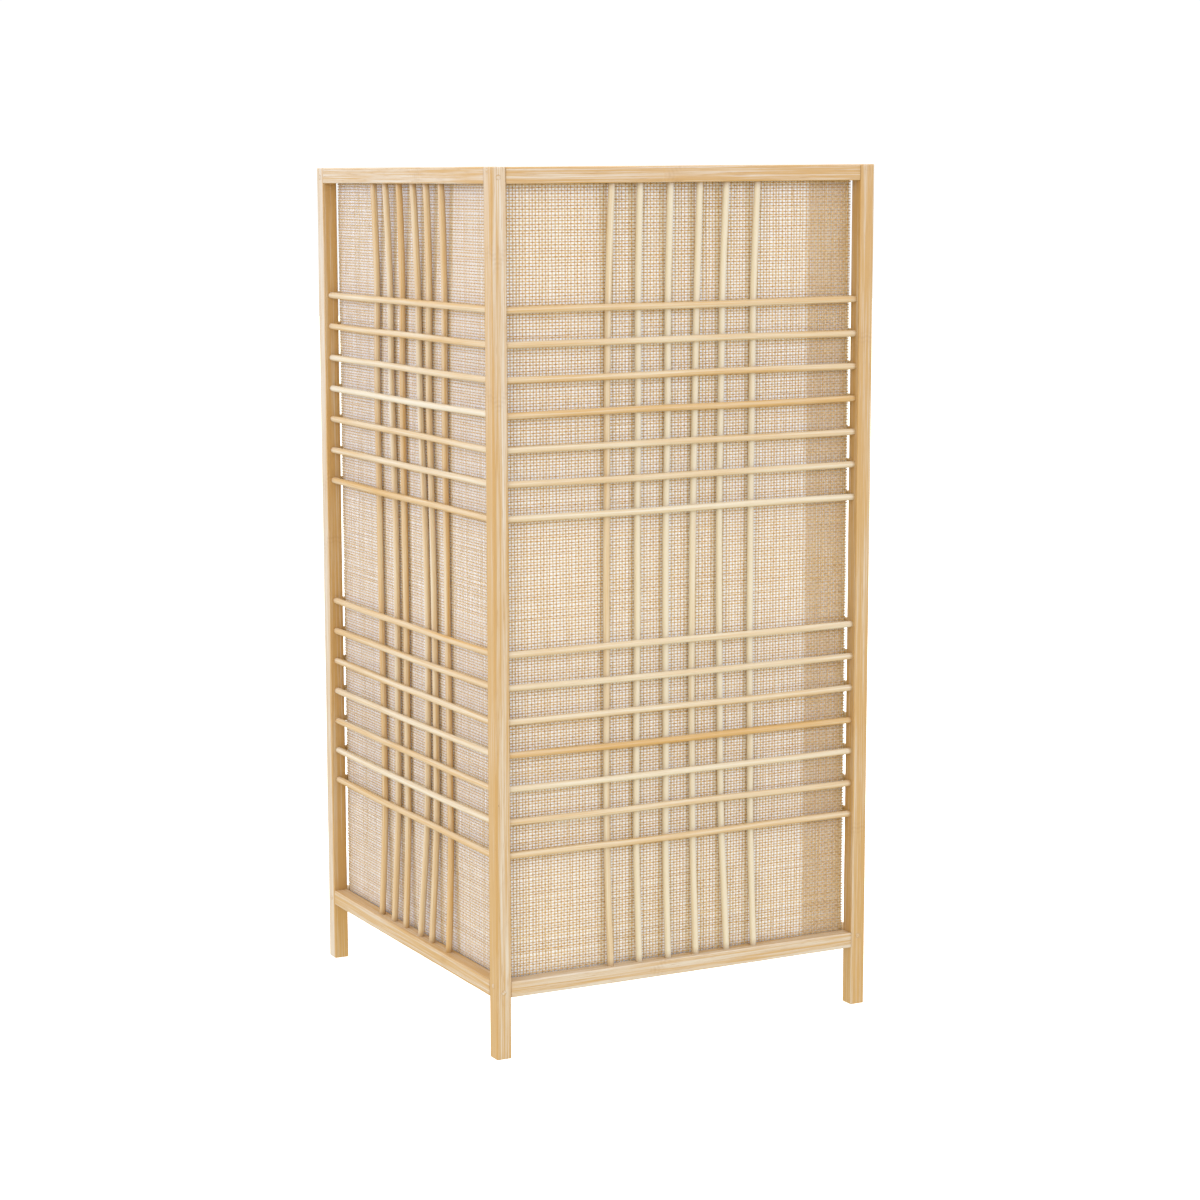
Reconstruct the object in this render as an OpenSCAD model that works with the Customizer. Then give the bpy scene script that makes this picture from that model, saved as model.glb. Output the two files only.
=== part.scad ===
// Square bamboo lantern: four posts on short legs, butt-jointed rails, straight rods in two
// directions across each face, a woven sheet over a translucent liner, and a lampholder
// with its bulb.
// The origin is at floor level under the middle of the lantern, and -Y is the front.

/* [Frame] */
// Overall height
height = 600; // [590:1:640]
// Outer width and depth of the square frame
width = 295; // [290:1:320]
// Side of the square posts, which is also the depth of the rails
stock = 11; // [11:0.5:12]
// Height of each rail
rail_h = 11; // [11:0.5:14]
// Height of the bottom rails' undersides above the floor
leg_h = 42.5; // [40:0.5:50]
// Radius along the long edges of posts and rails
edge_r = 0.3; // [0.2:0.05:0.35]

/* [Joints] */
// Diameter of the dowels through the posts
dowel_d = 3.6; // [3:0.1:3.8]
// Length of a dowel inside a rail's end
dowel_in_rail = 12; // [8:1:16]

/* [Rods] */
// Diameter of every rod
rod_d = 4.5; // [4:0.1:4.5]
// Spacing of neighbouring rods
rod_pitch = 23; // [20:0.5:23]
// Rods in each of the two groups across a face
rods_in_group = 7; // [4:1:7]
// Upright rods on each face
uprights_on_face = 6; // [2:2:6]
// Height of the lowest rod of the lower group
lower_group_z = 140; // [136:1:144]
// Height of the highest rod of the upper group
upper_group_z = 507; // [500:1:512]

/* [Shade] */
// Gap between the frame's inner plane and the woven sheet
sheet_gap = 0.3; // [0.3:0.1:0.6]
// Thickness of one layer of the weave
weave_t = 0.6; // [0.5:0.1:0.7]
// Thickness of the liner
liner_t = 0.8; // [0.6:0.1:1]
// Radius of the sheet round each corner
sheet_corner_r = 2.5; // [2.5:0.5:6]
// Width over which the sheet's two ends overlap
overlap_w = 35; // [25:1:40]

/* [Lamp] */
// Width of the steel bar that carries the lampholder
bar_w = 16; // [16:1:20]
// Thickness of the bar
bar_t = 1.5; // [1.2:0.1:1.5]
// Outer diameter of the lampholder
holder_d = 40; // [40:1:44]
// Diameter of the bulb's globe
globe_d = 60; // [56:1:62]

/* [Hidden] */
round_fn = 48;
fit_gap = 0.05;                       // round a glued rod or dowel

// frame
half_w = width / 2;
inner_half = half_w - stock;          // to the frame's inner plane
rail_len = width - 2 * stock;
post_mid = half_w - stock / 2;
bottom_mid_z = leg_h + rail_h / 2;
top_mid_z = height - rail_h / 2;
bottom_rail_top = leg_h + rail_h;
top_rail_bottom = height - rail_h;
rail_mids = [bottom_mid_z, top_mid_z];
dowel_low = -1.2;                     // the two dowels of a corner pass at these heights
dowel_high = 2.8;                     // from the rail's middle

// rods
rod_r = rod_d / 2;
rod_hole_r = rod_r + fit_gap;
rod_in_post = 4;
rod_in_rail = 4;
hole_extra = 0.1;                     // a blind hole is this much deeper than its rod
rod_wall = 1.4;                       // wood left outside the rods across a face
across_y = -half_w + rod_wall + rod_r;
upright_y = across_y + rod_d + 0.05;  // the uprights pass just behind them
group_span = (rods_in_group - 1) * rod_pitch;
lower_rod_z = [for (i = [0:rods_in_group - 1]) lower_group_z + i * rod_pitch];
upper_rod_z = [for (i = [0:rods_in_group - 1]) upper_group_z - group_span + i * rod_pitch];
upright_x = [for (i = [0:uprights_on_face - 1]) (i - (uprights_on_face - 1) / 2) * rod_pitch];
across_len = rail_len + 2 * rod_in_post;
upright_len = top_rail_bottom - bottom_rail_top + 2 * rod_in_rail;

// shade
sheet_half = inner_half - sheet_gap;
liner_half = sheet_half - 2 * weave_t;
sheet_low = leg_h + 7.8;
sheet_top = height - 2;

// lamp bar, its screws, and the nipple through it
bar_low = leg_h + 1.1;
bar_top = bar_low + bar_t;
flange_top = bar_low + 6.3;
bend_in_r = 0.4;
screw_head_r = 2.2;
screw_head_h = 1.6;
screw_r = 1.2;
screw_in_rail = 5;
screw_x = 4.5;
screw_z = bar_top + bend_in_r + screw_head_r;
nipple_r = 5;
nipple_bore_r = 3.5;
nipple_len = 20;
washer_r = 8;
washer_t = 1;
nut_h = 4;
nut_flats = 14;
nipple_low = bar_low - washer_t - nut_h - 1;

// lampholder, heights above the bar
holder_r = holder_d / 2;
cap_h = 24;
wall = 2;
holder_h = 56;
block_low = 19;
block_h = 12;
block_r = 15;
screw_shell_r = 13.6;
screw_shell_t = 0.4;
screw_shell_low = block_low + block_h;
screw_shell_h = 22;
tongue_w = 6;
tongue_t = 0.5;
tongue_rise = 1.6;
terminal_x = 9;

// bulb, heights above the tip of its contact
globe_r = globe_d / 2;
bulb_low = bar_top + screw_shell_low + tongue_rise + tongue_t + 0.3;
contact_h = 1.5;
insulator_top = 6;
thread_r = 13.1;
thread_top = 25;
collar_top = 47;
collar_top_r = 22;
led_board_t = 1.6;
globe_wall = 1;
globe_mid = collar_top + sqrt(globe_r * globe_r - collar_top_r * collar_top_r);

// ---- helpers ----

// the four sides of the lantern, as quarter turns from the front
module side(k) rotate([0, 0, 90 * k]) children();

module round_rect(x, y, r) {
    square([x - 2 * r, y], center = true);
    square([x, y - 2 * r], center = true);
    for (i = [-1, 1], j = [-1, 1])
        translate([i * (x / 2 - r), j * (y / 2 - r)]) circle(r = r, $fn = round_fn);
}

module along_x(len, r) rotate([0, 90, 0]) cylinder(h = len, r = r, $fn = round_fn);

module along_y(len, r) rotate([-90, 0, 0]) cylinder(h = len, r = r, $fn = round_fn);

// ---- frame ----

// the front left post, turned to corner k
module post(k) color("burlywood") side(k) difference() {
    translate([-post_mid, -post_mid, 0])
        linear_extrude(height) round_rect(stock, stock, edge_r);
    for (z = concat(lower_rod_z, upper_rod_z)) {
        translate([-inner_half - rod_in_post - hole_extra, across_y, z])
            along_x(stock, rod_hole_r);
        translate([across_y, -inner_half - rod_in_post - hole_extra, z])
            along_y(stock, rod_hole_r);
    }
    for (z = rail_mids) {
        translate([-post_mid, -half_w - 1, z + dowel_low])
            along_y(stock + 2, dowel_d / 2 + fit_gap);
        translate([-half_w - 1, -post_mid, z + dowel_high])
            along_x(stock + 2, dowel_d / 2 + fit_gap);
    }
}

// the two dowel bores in a rail's ends, on the front rail
module rail_end_bores(z) {
    bore_len = dowel_in_rail + hole_extra;
    translate([-inner_half - 1, -post_mid, z + dowel_high])
        along_x(bore_len + 1, dowel_d / 2 + fit_gap);
    translate([inner_half - bore_len, -post_mid, z + dowel_low])
        along_x(bore_len + 1, dowel_d / 2 + fit_gap);
}

module rail_bar(z)
    translate([-inner_half, -post_mid, z]) rotate([90, 0, 90])
        linear_extrude(rail_len) round_rect(stock, rail_h, edge_r);

module top_rail(k) color("burlywood") side(k) difference() {
    rail_bar(top_mid_z);
    rail_end_bores(top_mid_z);
    for (x = upright_x)
        translate([x, upright_y, top_rail_bottom - 1])
            cylinder(h = rod_in_rail + hole_extra + 1, r = rod_hole_r, $fn = round_fn);
}

// with_screws adds the pilot bores for the lamp bar's screws
module bottom_rail(k, with_screws) color("burlywood") side(k) difference() {
    rail_bar(bottom_mid_z);
    rail_end_bores(bottom_mid_z);
    for (x = upright_x)
        translate([x, upright_y, bottom_rail_top - rod_in_rail - hole_extra])
            cylinder(h = rod_in_rail + hole_extra + 1, r = rod_hole_r, $fn = round_fn);
    if (with_screws)
        for (x = [-screw_x, screw_x])
            translate([x, -inner_half - screw_in_rail - hole_extra, screw_z])
                along_y(screw_in_rail + hole_extra + 1, screw_r + fit_gap);
}

module frame_dowels() color("wheat")
    for (k = [0:3], z = rail_mids) side(k) {
        translate([-half_w, -post_mid, z + dowel_high])
            along_x(stock + dowel_in_rail, dowel_d / 2);
        translate([half_w - stock - dowel_in_rail, -post_mid, z + dowel_low])
            along_x(stock + dowel_in_rail, dowel_d / 2);
    }

// ---- rods ----

module rods_across(k, heights) color("navajowhite") side(k)
    for (z = heights) translate([-across_len / 2, across_y, z]) along_x(across_len, rod_r);

module upright_rods(k) color("navajowhite") side(k)
    for (x = upright_x) translate([x, upright_y, bottom_rail_top - rod_in_rail])
        cylinder(h = upright_len, r = rod_r, $fn = round_fn);

// ---- shade ----

module sheet_tube(half, corner_r, t) difference() {
    round_rect(2 * half, 2 * half, corner_r);
    round_rect(2 * (half - t), 2 * (half - t), corner_r - t);
}

// one wrapped layer, with its tucked end behind it at the front right corner
module woven_sheet() color("tan")
    translate([0, 0, sheet_low]) linear_extrude(sheet_top - sheet_low) {
        sheet_tube(sheet_half, sheet_corner_r, weave_t);
        translate([inner_half - overlap_w, -sheet_half + weave_t])
            square([overlap_w - sheet_gap - sheet_corner_r, weave_t]);
    }

module shade_liner() color("white")
    translate([0, 0, sheet_low]) linear_extrude(sheet_top - sheet_low)
        sheet_tube(liner_half, sheet_corner_r - 2 * weave_t, liner_t);

// ---- lamp bar and cable entry ----

// half of the bar's section along Y, from the middle to its turned-up end
module bar_half() {
    bend_out_r = bar_t + bend_in_r;
    square([inner_half - bend_out_r, bar_t]);
    translate([inner_half - bar_t, bend_out_r])
        square([bar_t, flange_top - bar_low - bend_out_r]);
    translate([inner_half - bend_out_r, bend_out_r]) intersection() {
        difference() {
            circle(r = bend_out_r, $fn = round_fn);
            circle(r = bend_in_r, $fn = round_fn);
        }
        translate([0, -bend_out_r]) square(bend_out_r);
    }
}

module lamp_bar() color("gainsboro") difference() {
    translate([-bar_w / 2, 0, bar_low]) rotate([90, 0, 90]) linear_extrude(bar_w) {
        bar_half();
        mirror([1, 0]) bar_half();
    }
    translate([0, 0, bar_low - 1])
        cylinder(h = bar_t + 2, r = nipple_r + 0.1, $fn = round_fn);
    for (x = [-screw_x, screw_x], k = [0, 2]) side(k)
        translate([x, -inner_half - 1, screw_z]) along_y(bar_t + 2, screw_r + 0.1);
}

module bar_screws() color("silver")
    for (x = [-screw_x, screw_x], k = [0, 2]) side(k)
        translate([x, -inner_half, screw_z]) {
            translate([0, -screw_in_rail, 0]) along_y(screw_in_rail + bar_t, screw_r);
            translate([0, bar_t, 0]) along_y(screw_head_h, screw_head_r);
        }

module cable_nipple() color("gold") translate([0, 0, nipple_low]) difference() {
    cylinder(h = nipple_len, r = nipple_r, $fn = round_fn);
    translate([0, 0, -1]) cylinder(h = nipple_len + 2, r = nipple_bore_r, $fn = round_fn);
}

module lock_washer() color("silver") translate([0, 0, bar_low - washer_t]) difference() {
    cylinder(h = washer_t, r = washer_r, $fn = round_fn);
    translate([0, 0, -1])
        cylinder(h = washer_t + 2, r = nipple_r + fit_gap, $fn = round_fn);
}

module nipple_nut() color("gold") translate([0, 0, bar_low - washer_t - nut_h])
    difference() {
        cylinder(h = nut_h, r = nut_flats / 2 / cos(30), $fn = 6);
        translate([0, 0, -1])
            cylinder(h = nut_h + 2, r = nipple_r + fit_gap, $fn = round_fn);
    }

// ---- lampholder ----

module turned(points) rotate_extrude($fn = round_fn) polygon(points);

module holder_cap() color("white") translate([0, 0, bar_top]) turned([
    [nipple_r + fit_gap, 0], [8, 0], [9, 4], [16, 8], [holder_r - 1, 12], [holder_r, 15],
    [holder_r, cap_h], [holder_r - wall, cap_h], [holder_r - wall, block_low],
    [13.5, block_low], [13.5, 10.5], [8, 7], [nipple_r + fit_gap, 7]
]);

// the insulating block rests on the cap's shoulder and holds both contacts
module terminal_block() color("ivory") translate([0, 0, bar_top + block_low])
    difference() {
        cylinder(h = block_h, r = block_r, $fn = round_fn);
        for (x = [-terminal_x, terminal_x]) translate([x, 0, -1])
            cylinder(h = 7.1, r = 1.6, $fn = round_fn);
    }

module terminal_screws() color("gold")
    for (x = [-terminal_x, terminal_x])
        translate([x, 0, bar_top + block_low - 2]) {
            cylinder(h = 2, r = 2.6, $fn = round_fn);
            cylinder(h = 8, r = 1.5, $fn = round_fn);
        }

// a springy tongue on top of the block, raised under the bulb's tip
module centre_contact() color("gold")
    translate([-tongue_w / 2, 0, bar_top + screw_shell_low]) rotate([90, 0, 90])
        linear_extrude(tongue_w) polygon([
            [-9, 0], [-5, 0], [-3, tongue_rise], [5, tongue_rise],
            [5, tongue_rise + tongue_t], [-3.3, tongue_rise + tongue_t],
            [-5.3, tongue_t], [-9, tongue_t]
        ]);

module screw_shell() color("silver") translate([0, 0, bar_top + screw_shell_low])
    difference() {
        cylinder(h = screw_shell_h, r = screw_shell_r + screw_shell_t, $fn = round_fn);
        translate([0, 0, -1])
            cylinder(h = screw_shell_h + 2, r = screw_shell_r, $fn = round_fn);
    }

// the shell sits on the cap's rim and reaches inside it
module holder_shell() color("white") translate([0, 0, bar_top]) turned([
    [holder_r - wall - 0.1, block_low + 1], [holder_r - wall - 0.1, cap_h],
    [holder_r, cap_h], [holder_r - 2, holder_h - 2], [holder_r - 3, holder_h],
    [14.4, holder_h], [14.4, screw_shell_low + screw_shell_h + 0.2],
    [14.1, screw_shell_low + screw_shell_h - 1], [14.1, screw_shell_low + 1],
    [15.1, screw_shell_low], [15.1, block_low + 1]
]);

// ---- bulb ----

module at_bulb() translate([0, 0, bulb_low]) children();

module bulb_contact() color("silver") at_bulb()
    turned([[0, 0], [3, 0], [5, 0.7], [5, contact_h], [0, contact_h]]);

module bulb_insulator() color("dimgray") at_bulb()
    turned([[0, contact_h], [6, contact_h], [thread_r - 0.6, insulator_top], [0, insulator_top]]);

module bulb_screw_cap() color("lightgray") at_bulb() turned([
    [0, insulator_top], [thread_r - 0.6, insulator_top], [thread_r, insulator_top + 1],
    [thread_r, thread_top], [thread_r - 0.5, thread_top],
    [thread_r - 0.5, insulator_top + 1.5], [0, insulator_top + 1.5]
]);

module bulb_collar() color("whitesmoke") at_bulb() turned([
    [0, thread_top], [14, thread_top], [15.5, thread_top + 4],
    [collar_top_r - 0.6, collar_top - 3], [collar_top_r, collar_top],
    [collar_top_r - 2, collar_top], [collar_top_r - 2, collar_top - led_board_t],
    [collar_top_r - 4, collar_top - led_board_t], [13, thread_top + 4], [0, thread_top + 4]
]);

// the board lies on a ledge inside the collar
module led_board() color("aliceblue") at_bulb() translate([0, 0, collar_top - led_board_t])
    cylinder(h = led_board_t, r = collar_top_r - 2.1, $fn = round_fn);

module bulb_globe() color("white") at_bulb() translate([0, 0, globe_mid]) difference() {
    sphere(r = globe_r, $fn = 96);
    sphere(r = globe_r - globe_wall, $fn = 96);
    translate([-globe_r, -globe_r, -2 * globe_r - (globe_mid - collar_top)])
        cube([2 * globe_r, 2 * globe_r, 2 * globe_r]);
}

// ---- what is drawn ----

post(0);  // post_front_left
post(1);  // post_front_right
post(2);  // post_back_right
post(3);  // post_back_left
top_rail(0);  // top_rail_front
top_rail(1);  // top_rail_right
top_rail(2);  // top_rail_back
top_rail(3);  // top_rail_left
bottom_rail(0, true);  // bottom_rail_front
bottom_rail(1, false);  // bottom_rail_right
bottom_rail(2, true);  // bottom_rail_back
bottom_rail(3, false);  // bottom_rail_left
frame_dowels();
rods_across(0, upper_rod_z);  // upper_rods_front
rods_across(1, upper_rod_z);  // upper_rods_right
rods_across(2, upper_rod_z);  // upper_rods_back
rods_across(3, upper_rod_z);  // upper_rods_left
rods_across(0, lower_rod_z);  // lower_rods_front
rods_across(1, lower_rod_z);  // lower_rods_right
rods_across(2, lower_rod_z);  // lower_rods_back
rods_across(3, lower_rod_z);  // lower_rods_left
upright_rods(0);  // upright_rods_front
upright_rods(1);  // upright_rods_right
upright_rods(2);  // upright_rods_back
upright_rods(3);  // upright_rods_left
woven_sheet();
shade_liner();
lamp_bar();
bar_screws();
cable_nipple();
lock_washer();
nipple_nut();
holder_cap();
terminal_block();
terminal_screws();
centre_contact();
screw_shell();
holder_shell();
bulb_contact();
bulb_insulator();
bulb_screw_cap();
bulb_collar();
led_board();
bulb_globe();
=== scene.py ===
import math

import bpy
import numpy as np
from mathutils import Matrix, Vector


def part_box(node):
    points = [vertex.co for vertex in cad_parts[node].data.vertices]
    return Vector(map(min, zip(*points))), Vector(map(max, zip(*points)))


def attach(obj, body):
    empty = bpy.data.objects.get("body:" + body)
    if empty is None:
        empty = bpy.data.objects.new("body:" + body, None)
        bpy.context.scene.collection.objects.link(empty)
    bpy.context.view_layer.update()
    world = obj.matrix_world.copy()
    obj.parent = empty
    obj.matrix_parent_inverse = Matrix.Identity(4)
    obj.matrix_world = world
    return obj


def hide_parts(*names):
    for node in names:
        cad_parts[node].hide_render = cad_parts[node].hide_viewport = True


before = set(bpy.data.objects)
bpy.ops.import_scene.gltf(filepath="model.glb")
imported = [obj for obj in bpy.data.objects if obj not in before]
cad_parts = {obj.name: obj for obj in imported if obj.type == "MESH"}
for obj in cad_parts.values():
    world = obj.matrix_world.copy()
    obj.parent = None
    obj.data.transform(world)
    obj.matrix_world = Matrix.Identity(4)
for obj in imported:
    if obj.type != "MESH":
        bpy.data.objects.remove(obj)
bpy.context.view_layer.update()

MM = 0.001
BODY, BULB = "lantern", "bulb"
SIDES = ("front", "right", "back", "left")          # quarter turns from the front
CORNERS = ("front_left", "front_right", "back_right", "back_left")
rng = np.random.default_rng(41)

# The sizes part.scad uses, in millimetres
HALF = 147.5                # half of the outer width
TOP = 600.0
STOCK, RAIL_H = 11.0, 11.0
INNER = HALF - STOCK        # half of the clear width between the posts
POST_MID = HALF - STOCK / 2
RAIL_MIDS = (48.0, TOP - RAIL_H / 2)
UPRIGHT_LOW = RAIL_MIDS[0] + RAIL_H / 2             # where upright rods enter the rails
UPRIGHT_TOP = TOP - RAIL_H
ROD_R = 2.3
PITCH = 23.0                # between rods
LOWER_Z = [140 + PITCH * i for i in range(7)]
UPPER_Z = [369 + PITCH * i for i in range(7)]
UPRIGHT_X = [(i - 2.5) * PITCH for i in range(6)]
SHEET_LOW, SHEET_TOP = 50.3, 598.0
SHEET_HALF, SHEET_CORNER = 135.9, 1.0               # the middle of the weave
OVERLAP_W = 35.0


def placed(right, up, back, place):
    """The matrix of a camera or light that looks against back."""
    return Matrix([[right[i], up[i], back[i], place[i]] for i in range(3)]
                  + [[0, 0, 0, 1]])


# ---- camera ----

CAMERA_TURN = (25.937, -8.862, -0.414)              # yaw, pitch and roll in degrees
CAMERA_AT = (-0.9546, -1.8154, 0.5998)
LENS, SENSOR = 84.93, 36.0
SHIFT = (0.0838, 0.0071)


def camera():
    yaw, pitch, roll = (math.radians(a) for a in CAMERA_TURN)
    fwd = np.array([math.sin(yaw) * math.cos(pitch), math.cos(yaw) * math.cos(pitch),
                    math.sin(pitch)])
    right = np.array([math.cos(yaw), -math.sin(yaw), 0])
    up = np.cross(right, fwd)
    r = right * math.cos(roll) + up * math.sin(roll)
    u = -right * math.sin(roll) + up * math.cos(roll)
    data = bpy.data.cameras.new("camera")
    data.lens, data.sensor_width = LENS, SENSOR
    data.shift_x, data.shift_y = SHIFT
    data.clip_start, data.clip_end = 0.05, 50
    cam = bpy.data.objects.new("camera", data)
    bpy.context.scene.collection.objects.link(cam)
    cam.matrix_world = placed(r, u, -fwd, CAMERA_AT)
    bpy.context.scene.camera = cam


# ---- materials ----

OBJECT_OUTPUT = 3           # of the Texture Coordinate node


class Nodes:
    """A short way to write a material's node tree."""

    def __init__(self, name):
        self.material = bpy.data.materials.new(name)
        self.material.use_nodes = True
        self.tree = self.material.node_tree
        self.shader = self.tree.nodes["Principled BSDF"]

    def add(self, kind, settings=None, **inputs):
        node = self.tree.nodes.new(kind)
        for key, value in (settings or {}).items():
            setattr(node, key, value)
        for key, value in inputs.items():
            self.put(node.inputs[key.replace("_", " ")], value)
        return node

    def put(self, socket, value):
        if isinstance(value, bpy.types.NodeSocket):
            self.tree.links.new(value, socket)
        else:
            socket.default_value = value

    def out(self, kind, settings=None, socket=0, **inputs):
        return self.add(kind, settings, **inputs).outputs[socket]

    def attribute(self, name, socket="Fac"):
        node = self.add("ShaderNodeAttribute", {"attribute_name": name})
        return node.outputs[socket]

    def place(self, vector, scale):
        return self.out("ShaderNodeMapping", Vector=vector, Scale=scale)

    def noise(self, vector, scale, detail=3.0, rough=0.55):
        return self.out("ShaderNodeTexNoise", Vector=self.place(vector, scale), Scale=1.0,
                        Detail=detail, Roughness=rough)

    def ramp(self, value, low, high, at_low=0.0, at_high=1.0):
        node = self.add("ShaderNodeMapRange", {"clamp": True}, Value=value)
        for key, number in (("From Min", low), ("From Max", high), ("To Min", at_low),
                            ("To Max", at_high)):
            node.inputs[key].default_value = number
        return node.outputs[0]

    def math(self, operation, a, b):
        node = self.tree.nodes.new("ShaderNodeMath")
        node.operation = operation
        self.put(node.inputs[0], a)
        self.put(node.inputs[1], b)
        return node.outputs[0]

    def mix(self, factor, a, b, blend="MIX"):
        node = self.tree.nodes.new("ShaderNodeMix")
        node.data_type, node.blend_type = "RGBA", blend
        self.put(node.inputs[0], factor)
        self.put(node.inputs[6], a)
        self.put(node.inputs[7], b)
        return node.outputs[2]

    def bump(self, height, strength, distance):
        return self.out("ShaderNodeBump", Strength=strength, Distance=distance,
                        Height=height)

    def finish(self, color, rough, normal=None, **fixed):
        self.put(self.shader.inputs["Base Color"], color)
        self.put(self.shader.inputs["Roughness"], rough)
        if normal is not None:
            self.put(self.shader.inputs["Normal"], normal)
        for key, value in fixed.items():
            self.shader.inputs[key.replace("_", " ")].default_value = value
        return self.material


def bamboo(name, pale, deep, streak, dashes):
    """Split bamboo: soft streaks, short brown fibre dashes, dark specks, knuckle marks
    and painted shade where parts meet.
    """
    n = Nodes(name)
    grain = n.attribute("grain", "Vector")
    broad = n.noise(grain, (330, 330, 4), 2.0)
    fine = n.noise(grain, (1150, 1150, 14), 4.0, 0.6)
    fibre = n.noise(grain, (3300, 3300, 75), 2.0, 0.5)
    patch = n.noise(grain, (25, 25, 9), 2.0)
    tone = n.attribute("tone")
    mixed = n.math("ADD", n.ramp(broad, 0.32, 0.68, -0.7 * streak, 0.7 * streak),
                   n.ramp(fine, 0.34, 0.66, -1.2 * streak, 1.2 * streak))
    mixed = n.math("ADD", mixed, n.ramp(patch, 0.3, 0.7, 0.32, 0.56))
    mixed = n.math("ADD", mixed, tone)
    color = n.mix(n.ramp(mixed, 0.0, 1.0), pale, deep)
    dash = n.ramp(fibre, 0.60, 0.72, 0.0, dashes)
    color = n.mix(dash, color, (0.42, 0.24, 0.10, 1))
    speck = n.noise(grain, (700, 700, 240), 1.0)
    color = n.mix(n.ramp(speck, 0.83, 0.86, 0.0, 0.75), color, (0.10, 0.055, 0.025, 1))
    # darker at knuckle bands, and painted shade at joints, dowel rings and rod ends
    color = n.mix(n.attribute("mark"), color, (0.30, 0.15, 0.05, 1))
    height = n.math("SUBTRACT", n.math("MULTIPLY", fine, 0.6),
                    n.math("MULTIPLY", dash, 0.8))
    return n.finish(color, n.ramp(fine, 0.3, 0.7, 0.44, 0.60),
                    n.bump(height, 0.35, 0.00012), Coat_Weight=0.10, Coat_Roughness=0.35)


def weave():
    """Twisted paper yarn: slubs along each thread, and pale flecks."""
    n = Nodes("paper_yarn")
    grain = n.attribute("grain", "Vector")
    slub = n.noise(grain, (420, 420, 60), 3.0)
    fleck = n.noise(grain, (1900, 1900, 420), 2.0)
    tone = n.math("ADD", n.attribute("tone"), n.ramp(slub, 0.3, 0.7, -0.25, 0.25))
    color = n.mix(n.ramp(tone, -0.5, 0.5), (0.71, 0.51, 0.265, 1),
                  (0.46, 0.255, 0.068, 1))
    color = n.mix(n.ramp(fleck, 0.55, 0.7, 0.0, 0.45), color, (0.74, 0.62, 0.45, 1))
    return n.finish(color, n.ramp(slub, 0.3, 0.7, 0.62, 0.80), n.bump(slub, 0.3, 0.0002),
                    Sheen_Weight=0.15, Sheen_Roughness=0.5)


def local(n):
    """The piece's own coordinates, in metres."""
    return n.out("ShaderNodeTexCoord", socket=OBJECT_OUTPUT)


def liner():
    n = Nodes("liner_paper")
    cloud = n.noise(local(n), (90, 90, 60), 3.0)
    fibre = n.noise(local(n), (900, 900, 500), 3.0)
    color = n.mix(n.ramp(cloud, 0.3, 0.7), (0.89, 0.90, 0.91, 1), (0.92, 0.93, 0.94, 1))
    return n.finish(color, n.ramp(fibre, 0.3, 0.7, 0.6, 0.75),
                    n.bump(fibre, 0.15, 0.0001))


def metal(name, color, dull, rough, stretch=(1, 1, 1)):
    """Metal with duller stains, brushed along the axis where stretch is small."""
    n = Nodes(name)
    brushed = n.noise(local(n), tuple(1600 * s for s in stretch), 4.0)
    stain = n.noise(local(n), (130, 130, 130), 3.0)
    tint = n.mix(n.ramp(stain, 0.35, 0.7), color, dull)
    return n.finish(tint, n.ramp(brushed, 0.3, 0.7, rough * 0.8, rough * 1.35),
                    n.bump(brushed, 0.12, 0.00008), Metallic=1.0)


def moulded(name, color, shade, rough, grain=1400, relief=0.08, **fixed):
    """Plastic or glass with a faint texture and a slow change of colour."""
    n = Nodes(name)
    texture = n.noise(local(n), (grain,) * 3, 2.0)
    cloud = n.noise(local(n), (45, 45, 45), 2.0)
    tint = n.mix(n.ramp(cloud, 0.35, 0.65), color, shade)
    return n.finish(tint, n.ramp(texture, 0.3, 0.7, rough * 0.85, rough * 1.2),
                    n.bump(texture, relief, 0.00008), **fixed)


def led_white():
    """A white board with a ring of small yellow diodes."""
    n = Nodes("led_board")
    dots = n.out("ShaderNodeTexVoronoi", {"feature": "F1", "voronoi_dimensions": "2D"},
                 Vector=n.place(local(n), (150, 150, 1)), Scale=1.0, Randomness=0.15)
    cloud = n.noise(local(n), (300, 300, 300), 2.0)
    white = n.mix(n.ramp(cloud, 0.3, 0.7), (0.86, 0.86, 0.84, 1),
                  (0.78, 0.78, 0.77, 1))
    color = n.mix(n.ramp(dots, 0.2, 0.24, 1.0, 0.0), white, (0.86, 0.62, 0.10, 1))
    return n.finish(color, n.ramp(cloud, 0.3, 0.7, 0.3, 0.4), n.bump(dots, 0.2, 0.0003))


# ---- mesh helpers ----

def make(name, verts, quads, material, node, slot, body=BODY, caps=(), **data):
    """A smooth mesh piece from millimetre points; data are the point attributes."""
    verts = np.asarray(verts, float)
    quads = np.asarray(quads, np.int32).reshape(-1, 4)
    mesh = bpy.data.meshes.new(name)
    corners = np.concatenate([quads.ravel(), *[np.asarray(c, np.int32) for c in caps]])
    sizes = np.array([4] * len(quads) + [len(c) for c in caps])
    mesh.vertices.add(len(verts))
    mesh.vertices.foreach_set("co", (verts * MM).ravel())
    mesh.loops.add(len(corners))
    mesh.loops.foreach_set("vertex_index", corners)
    mesh.polygons.add(len(sizes))
    mesh.polygons.foreach_set("loop_start", np.concatenate([[0], np.cumsum(sizes)[:-1]]))
    for key in ("grain", "tone", "mark"):
        if key not in data:
            continue
        vector = key == "grain"
        layer = mesh.attributes.new(key, "FLOAT_VECTOR" if vector else "FLOAT", "POINT")
        values = np.asarray(data[key], float) * (MM if vector else 1)
        layer.data.foreach_set("vector" if vector else "value", values.ravel())
    mesh.update(calc_edges=True)
    mesh.validate()
    mesh.polygons.foreach_set("use_smooth", [True] * len(sizes))
    mesh.materials.append(material)
    piece = bpy.data.objects.new(name, mesh)
    bpy.context.scene.collection.objects.link(piece)
    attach(piece, body)
    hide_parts(node)
    return piece


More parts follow.
